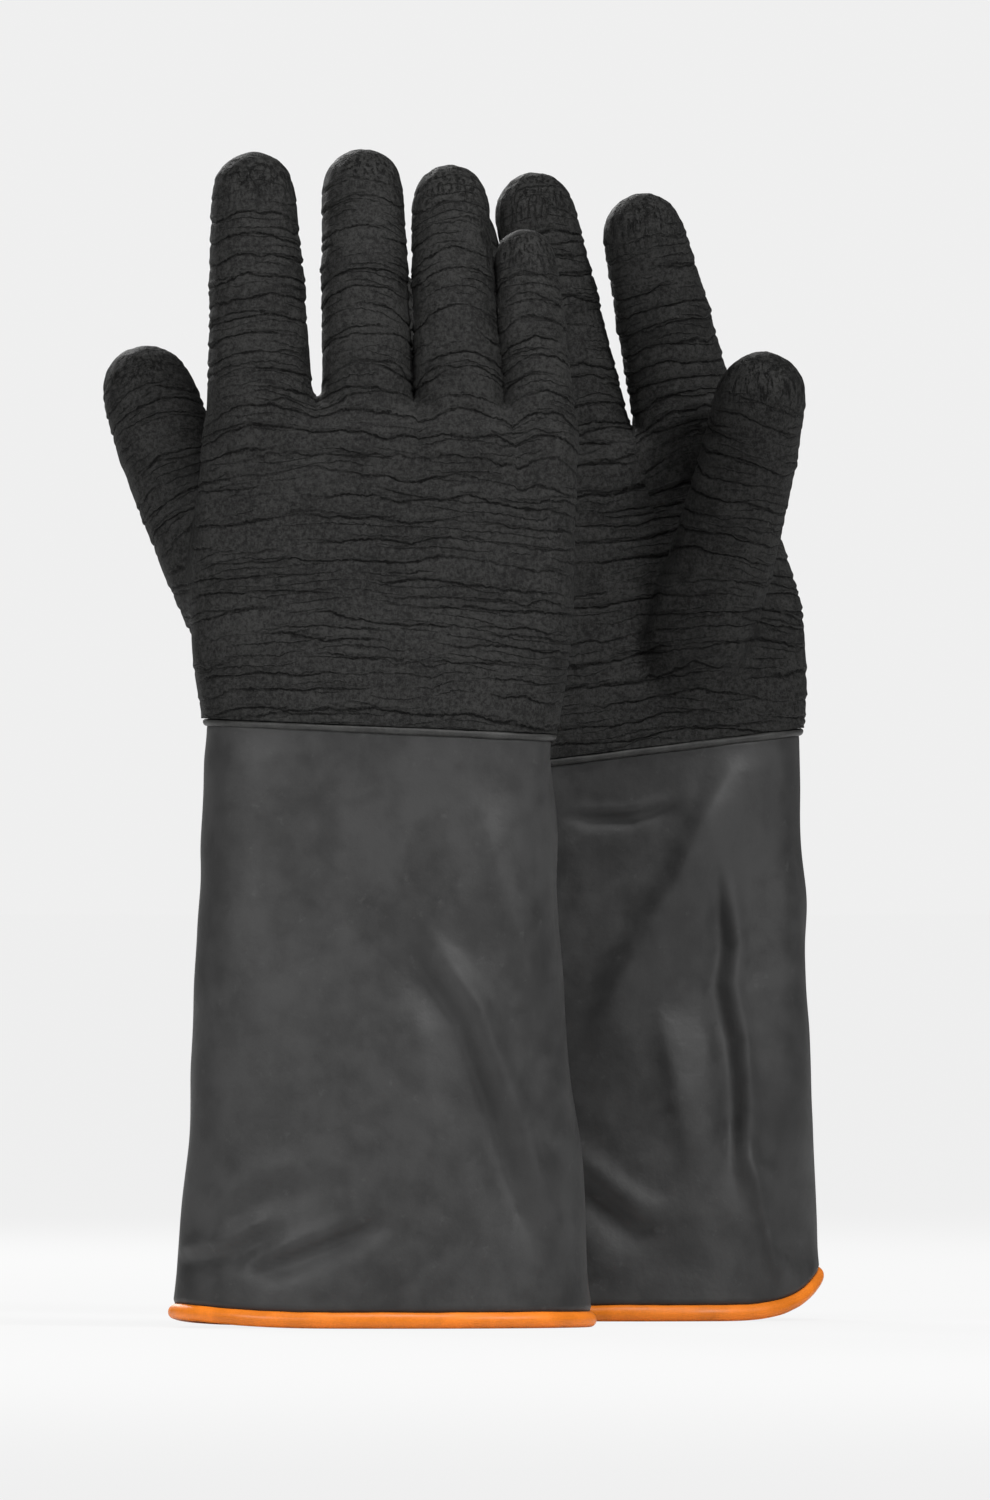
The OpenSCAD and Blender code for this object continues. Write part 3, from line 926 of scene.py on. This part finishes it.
def crinkle_finish(colours, sizes):
    """Matt grainy black, wrinkled fingertips, painted shade in the creases, painted highlights on
    lips over them.
    """
    finish = Finish("crinkled_coat", colours.crinkle, 0.66, 0.1)
    row = finish.kept("crease_rows")
    depth = finish.kept("crease_depths")
    ragged = finish.times(finish.sum(finish.lumps(1.9, 4.0, 0.75), 0.5, "SUBTRACT"), 2.6)
    broken = finish.spread(finish.lumps(3.5, 3.0, 0.6), 0.34, 0.56, 0.3, 1.0)
    hairs = finish.spread(finish.lumps(9, 1.0, 0.5, stretch=(2.5, 2.5, 1)), 0.46, 0.62, 0, 0.7)
    groove_relief_and_shade = lip_relief_and_highlight = 0.0
    # Each set of creases has its spacing, the half width of its lines in mm, and how strong it is
    for number, (pitch, half, strength) in enumerate((
            (sizes.crease_pitch, 0.42, finish.times(depth[0], broken)),
            (sizes.crease_pitch * 1.4, 0.38, finish.times(depth[1], broken)),
            (sizes.hair_pitch, 0.26, hairs))):
        part = finish.of(row[number], "FRACT")
        offset = finish.sum(finish.times(finish.sum(part, 0.5, "SUBTRACT"), pitch), ragged)
        # Painted shade: the groove mask darkens the colour in each crease, as well as sinking the
        # bump
        groove = finish.times(
            finish.spread(finish.of(offset, "ABSOLUTE"), half * 0.25, half, 1, 0), strength)
        above = finish.of(finish.sum(offset, half * 1.7, "SUBTRACT"), "ABSOLUTE")
        # Painted highlight: the lip mask lightens the colour just above each crease, as well as
        # raising the bump
        lip = finish.times(finish.spread(above, 0.0, half * 1.1, 1, 0), strength)
        groove_relief_and_shade = finish.sum(groove_relief_and_shade, groove, "MAXIMUM")
        lip_relief_and_highlight = finish.sum(lip_relief_and_highlight, lip, "MAXIMUM")
    grain = finish.lumps(1.5, 4.0, 0.9)
    cloud = finish.lumps(14, 3.0, 0.55)
    streaks = finish.lumps(1.3, 3.0, 0.6, stretch=(1, 1, 5))
    at_tip = finish.spread(depth[2], 0.0, 1.0, 0.12, 1.0)
    # The fingertip wrinkles take the same painted shade as the creases
    wrinkle = finish.times(finish.spread(streaks, 0.36, 0.5, 1, 0), finish.times(at_tip, 0.8))
    groove_relief_and_shade = finish.sum(groove_relief_and_shade, wrinkle, "MAXIMUM")
    height = finish.sum(finish.times(lip_relief_and_highlight, 0.42), finish.times(groove_relief_and_shade, 0.6), "SUBTRACT")
    height = finish.sum(height, finish.times(grain, 0.34))
    height = finish.sum(height, finish.times(finish.times(streaks, at_tip), 0.35))
    finish.bump(height)
    tone = finish.sum(finish.times(cloud, 0.2), finish.times(grain, 0.8))
    base = finish.paint(shade(colours.crinkle, 0.35), shade(colours.crinkle, 1.8),
                        finish.spread(tone, 0.38, 0.62))
    # Painted highlight on the lips over the creases
    lit = finish.paint(base, shade(colours.crinkle, 3.2), finish.times(lip_relief_and_highlight, 0.5))
    # Painted shade: the creases and fingertip wrinkles are painted nearly black
    finish.colour(finish.paint(lit, shade(colours.crinkle, 0.1), finish.times(groove_relief_and_shade, 0.95)))
    finish.rough(finish.spread(cloud, 0.3, 0.7, 0.6, 0.74))


def gauntlet_finish(colours):
    """Smooth semi-matt black with faint clouds and scuffs."""
    finish = Finish("smooth_gauntlet", colours.gauntlet, 0.5, 0.3)
    cloud = finish.lumps(34, 4.0, 0.55, stretch=(0.8, 0.8, 1.5))
    blots = finish.lumps(9, 3.0, 0.55)
    speckle = finish.lumps(0.7, 2.0, 0.6)
    scuff = finish.spread(finish.lumps(5, 4.0, 0.7), 0.6, 0.74, 0, 0.3)
    tone = finish.sum(finish.times(cloud, 0.6), finish.sum(
        finish.times(blots, 0.3), finish.times(speckle, 0.1)))
    base = finish.paint(shade(colours.gauntlet, 0.7), shade(colours.gauntlet, 1.28),
                        finish.spread(tone, 0.36, 0.64))
    finish.colour(finish.paint(base, shade(colours.gauntlet, 2.2), scuff))
    finish.rough(finish.spread(blots, 0.3, 0.7, 0.46, 0.58))
    finish.bump(finish.sum(finish.times(blots, 0.3), finish.times(speckle, 0.02)))


def bead_finish(name, colours):
    """Orange rubber, a little cloudy."""
    finish = Finish(name, colours.orange, 0.45, 0.3)
    cloud = finish.lumps(11, 3.0, 0.5)
    speckle = finish.lumps(0.8, 2.0, 0.6)
    tone = finish.sum(finish.times(cloud, 0.7), finish.times(speckle, 0.3))
    finish.colour(finish.paint(shade(colours.orange, 0.8), shade(colours.orange, 1.1),
                               finish.spread(tone, 0.3, 0.7)))
    finish.rough(finish.spread(cloud, 0.3, 0.7, 0.38, 0.52))
    finish.bump(finish.sum(finish.times(cloud, 0.25), finish.times(speckle, 0.03)))


def edge_finish(colours):
    """Dull grey rubber with small blots."""
    finish = Finish("coat_edge", colours.edge, 0.55, 0.25)
    blots = finish.lumps(6, 2.0, 0.5)
    speckle = finish.lumps(0.8, 2.0, 0.6)
    tone = finish.sum(finish.times(blots, 0.6), finish.times(speckle, 0.4))
    finish.colour(finish.paint(shade(colours.edge, 0.6), shade(colours.edge, 1.3),
                               finish.spread(tone, 0.3, 0.7)))
    finish.bump(finish.sum(finish.times(blots, 0.2), finish.times(speckle, 0.04)))


# ---- The stage ----

def grey(level):
    """A grey as a socket's colour."""
    return (level, level, level, 1)


def seen_or_not(tree, unseen, seen, output):
    """Shows one shader to the camera and another to everything else."""
    path = add_node(tree, "LightPath")
    either = add_node(tree, "MixShader", {
        0: path.outputs["Is Camera Ray"], 1: unseen.outputs[0], 2: seen.outputs[0]})
    tree.links.new(either.outputs[0], tree.nodes[output].inputs["Surface"])


def add_floor(colour):
    """The floor, which the camera sees as a pale sheet that takes little but the shadows."""
    bpy.ops.object.select_all(action="DESELECT")
    bpy.ops.mesh.primitive_plane_add(size=60)
    floor = bpy.context.object
    floor.name = floor.data.name = "floor"
    paint = Finish("floor_paint", colour, 0.9, 0.1)
    pale = paint.add("Emission", {"Color": grey(SEEN_FLOOR)})
    shaded = paint.add("BsdfDiffuse", {"Color": grey(SHADED_FLOOR)})
    both = paint.add("AddShader", {0: pale.outputs[0], 1: shaded.outputs[0]})
    seen_or_not(paint.tree, paint.shader, both, "Material Output")
    floor.data.materials.append(paint.material)


def add_surroundings(scene):
    """The pale world."""
    world = scene.world = bpy.data.worlds.new("studio")
    world.use_nodes = True
    light = world.node_tree.nodes["Background"]
    light.inputs["Color"].default_value = grey(1)
    light.inputs["Strength"].default_value = WORLD_LIGHT
    seen = add_node(world.node_tree, "Background", {
        "Color": grey(SEEN_WORLD), "Strength": 1.0})
    seen_or_not(world.node_tree, light, seen, "World Output")


def add_lamps(scene):
    """Round soft lamps, all aimed at the middle of the gloves."""
    for name, (place, size, watts) in LAMPS.items():
        data = bpy.data.lights.new(name, "AREA")
        data.shape, data.size, data.energy = "DISK", size, watts
        lamp = bpy.data.objects.new(name, data)
        scene.collection.objects.link(lamp)
        lamp.location = place
        lamp.rotation_euler = (LAMP_AIM - Vector(place)).to_track_quat("-Z", "Y").to_euler()


# ---- What a user can change ----

class GloveSizes(bpy.types.PropertyGroup):
    """Sizes of the rubber's surface."""

    skin_detail: FloatProperty(
        name="Skin Detail", description="Size of the hand skin's faces, in mm",
        default=0.8, min=0.6, max=2.0)
    skin_rounds: IntProperty(
        name="Skin Smoothing", description="Rounds of smoothing that the hand skin gets",
        default=120, min=20, max=300)
    crease_pitch: FloatProperty(
        name="Crease Spacing", description="Distance from one main crease to the next, in mm",
        default=7.0, min=4.0, max=15.0)
    crease_depth: FloatProperty(
        name="Crease Depth", description="Depth of a full crease, in mm",
        default=0.5, min=0.0, max=1.5)
    hair_pitch: FloatProperty(
        name="Fine Crease Spacing", description="Distance from one fine crease to the next, in mm",
        default=3.4, min=1.5, max=8.0)


def colour_setting(name, what, default):
    """A colour that a user can change."""
    return FloatVectorProperty(name=name, description=f"Colour of {what}", default=default,
                               subtype="COLOR", size=3, min=0, max=1)


class GloveColours(bpy.types.PropertyGroup):
    """Colours of the rubber and of the floor."""

    crinkle: colour_setting("Crinkled Coat", "the crinkled hand coat", (0.0155, 0.0155, 0.015))
    gauntlet: colour_setting("Gauntlet", "the smooth gauntlet", (0.027, 0.027, 0.027))
    orange: colour_setting("Orange Rubber", "the bead and the lining", (0.72, 0.185, 0.01))
    edge: colour_setting("Coat Edge", "the band at the coat's lower edge", (0.032, 0.032, 0.031))
    floor: colour_setting("Floor", "the floor", (0.8, 0.8, 0.8))


# ---- Operators ----

class GLOVES_OT_camera(bpy.types.Operator):
    """Adds the camera at the photograph's viewing angle"""

    bl_idname = "gloves.camera"
    bl_label = "Camera"

    def execute(self, context):
        data = bpy.data.cameras.new("photo_camera")
        data.sensor_width = SENSOR
        data.lens = CAMERA_LENS
        data.clip_end = 100
        camera = bpy.data.objects.new("photo_camera", data)
        context.scene.collection.objects.link(camera)
        camera.location = CAMERA_AIM - Vector((0, CAMERA_DISTANCE, 0))
        camera.rotation_euler = (math.pi / 2, 0, 0)
        context.scene.camera = camera
        return {"FINISHED"}


class GLOVES_OT_finishes(bpy.types.Operator):
    """Makes the rubbers' finishes"""

    bl_idname = "gloves.finishes"
    bl_label = "Rubber Finishes"

    def execute(self, context):
        colours, sizes = context.scene.glove_colours, context.scene.glove_sizes
        crinkle_finish(colours, sizes)
        gauntlet_finish(colours)
        bead_finish("orange_bead", colours)
        bead_finish("orange_lining", colours)
        edge_finish(colours)
        return {"FINISHED"}


class GLOVES_OT_hands(bpy.types.Operator):
    """Makes both crinkled hands, each as a palm piece and five digit pieces"""

    bl_idname = "gloves.hands"
    bl_label = "Crinkled Hands"

    def execute(self, context):
        for glove in GLOVES:
            make_hand(glove, context.scene.glove_sizes)
        return {"FINISHED"}


class GLOVES_OT_gauntlets(bpy.types.Operator):
    """Makes both smooth gauntlets with their folds, and the linings that follow them"""

    bl_idname = "gloves.gauntlets"
    bl_label = "Gauntlets"

    def execute(self, context):
        for glove in GLOVES:
            make_gauntlet(glove)
        return {"FINISHED"}


class GLOVES_OT_edges(bpy.types.Operator):
    """Makes the rolled beads and the bands at the coats' lower edges"""

    bl_idname = "gloves.edges"
    bl_label = "Beads and Bands"

    def execute(self, context):
        for glove in GLOVES:
            make_bead(glove)
            make_band(glove)
        return {"FINISHED"}


class GLOVES_OT_linings(bpy.types.Operator):
    """Gives the orange linings inside the digits their rubber"""

    bl_idname = "gloves.linings"
    bl_label = "Digit Linings"

    def execute(self, context):
        rubber = bpy.data.materials["orange_lining"]
        for glove in GLOVES:
            for digit in DIGITS:
                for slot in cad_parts[f"{glove}_{digit}_tip_liner"].material_slots:
                    slot.material = rubber
        return {"FINISHED"}


class GLOVES_OT_stage(bpy.types.Operator):
    """Adds the floor, the lamps and the pale surroundings"""

    bl_idname = "gloves.stage"
    bl_label = "Stage"

    def execute(self, context):
        add_floor(context.scene.glove_colours.floor)
        add_surroundings(context.scene)
        add_lamps(context.scene)
        context.scene.view_settings.view_transform = "Standard"
        return {"FINISHED"}


class GLOVES_PT_panel(bpy.types.Panel):
    """Lists the gloves' sizes, colours and steps"""

    bl_idname = "GLOVES_PT_panel"
    bl_label = "Insulating Gloves"
    bl_space_type = "VIEW_3D"
    bl_region_type = "UI"
    bl_category = "Gloves"

    def draw(self, context):
        for group in (context.scene.glove_sizes, context.scene.glove_colours):
            box = self.layout.box()
            for name in group.bl_rna.properties.keys():
                if name not in ("rna_type", "name"):
                    box.prop(group, name)
        for operator in OPERATORS:
            self.layout.operator(operator.bl_idname)


OPERATORS = (GLOVES_OT_camera, GLOVES_OT_finishes, GLOVES_OT_hands, GLOVES_OT_gauntlets,
             GLOVES_OT_edges, GLOVES_OT_linings, GLOVES_OT_stage)
CLASSES = (GloveSizes, GloveColours) + OPERATORS + (GLOVES_PT_panel,)


def register():
    for cls in CLASSES:
        bpy.utils.register_class(cls)
    bpy.types.Scene.glove_sizes = PointerProperty(type=GloveSizes)
    bpy.types.Scene.glove_colours = PointerProperty(type=GloveColours)


def unregister():
    del bpy.types.Scene.glove_colours
    del bpy.types.Scene.glove_sizes
    for cls in reversed(CLASSES):
        bpy.utils.unregister_class(cls)


def main():
    register()
    bpy.ops.gloves.camera()
    bpy.ops.gloves.finishes()
    bpy.ops.gloves.hands()
    bpy.ops.gloves.gauntlets()
    bpy.ops.gloves.edges()
    bpy.ops.gloves.linings()
    bpy.ops.gloves.stage()
    write_points()


if __name__ == "__main__":
    main()
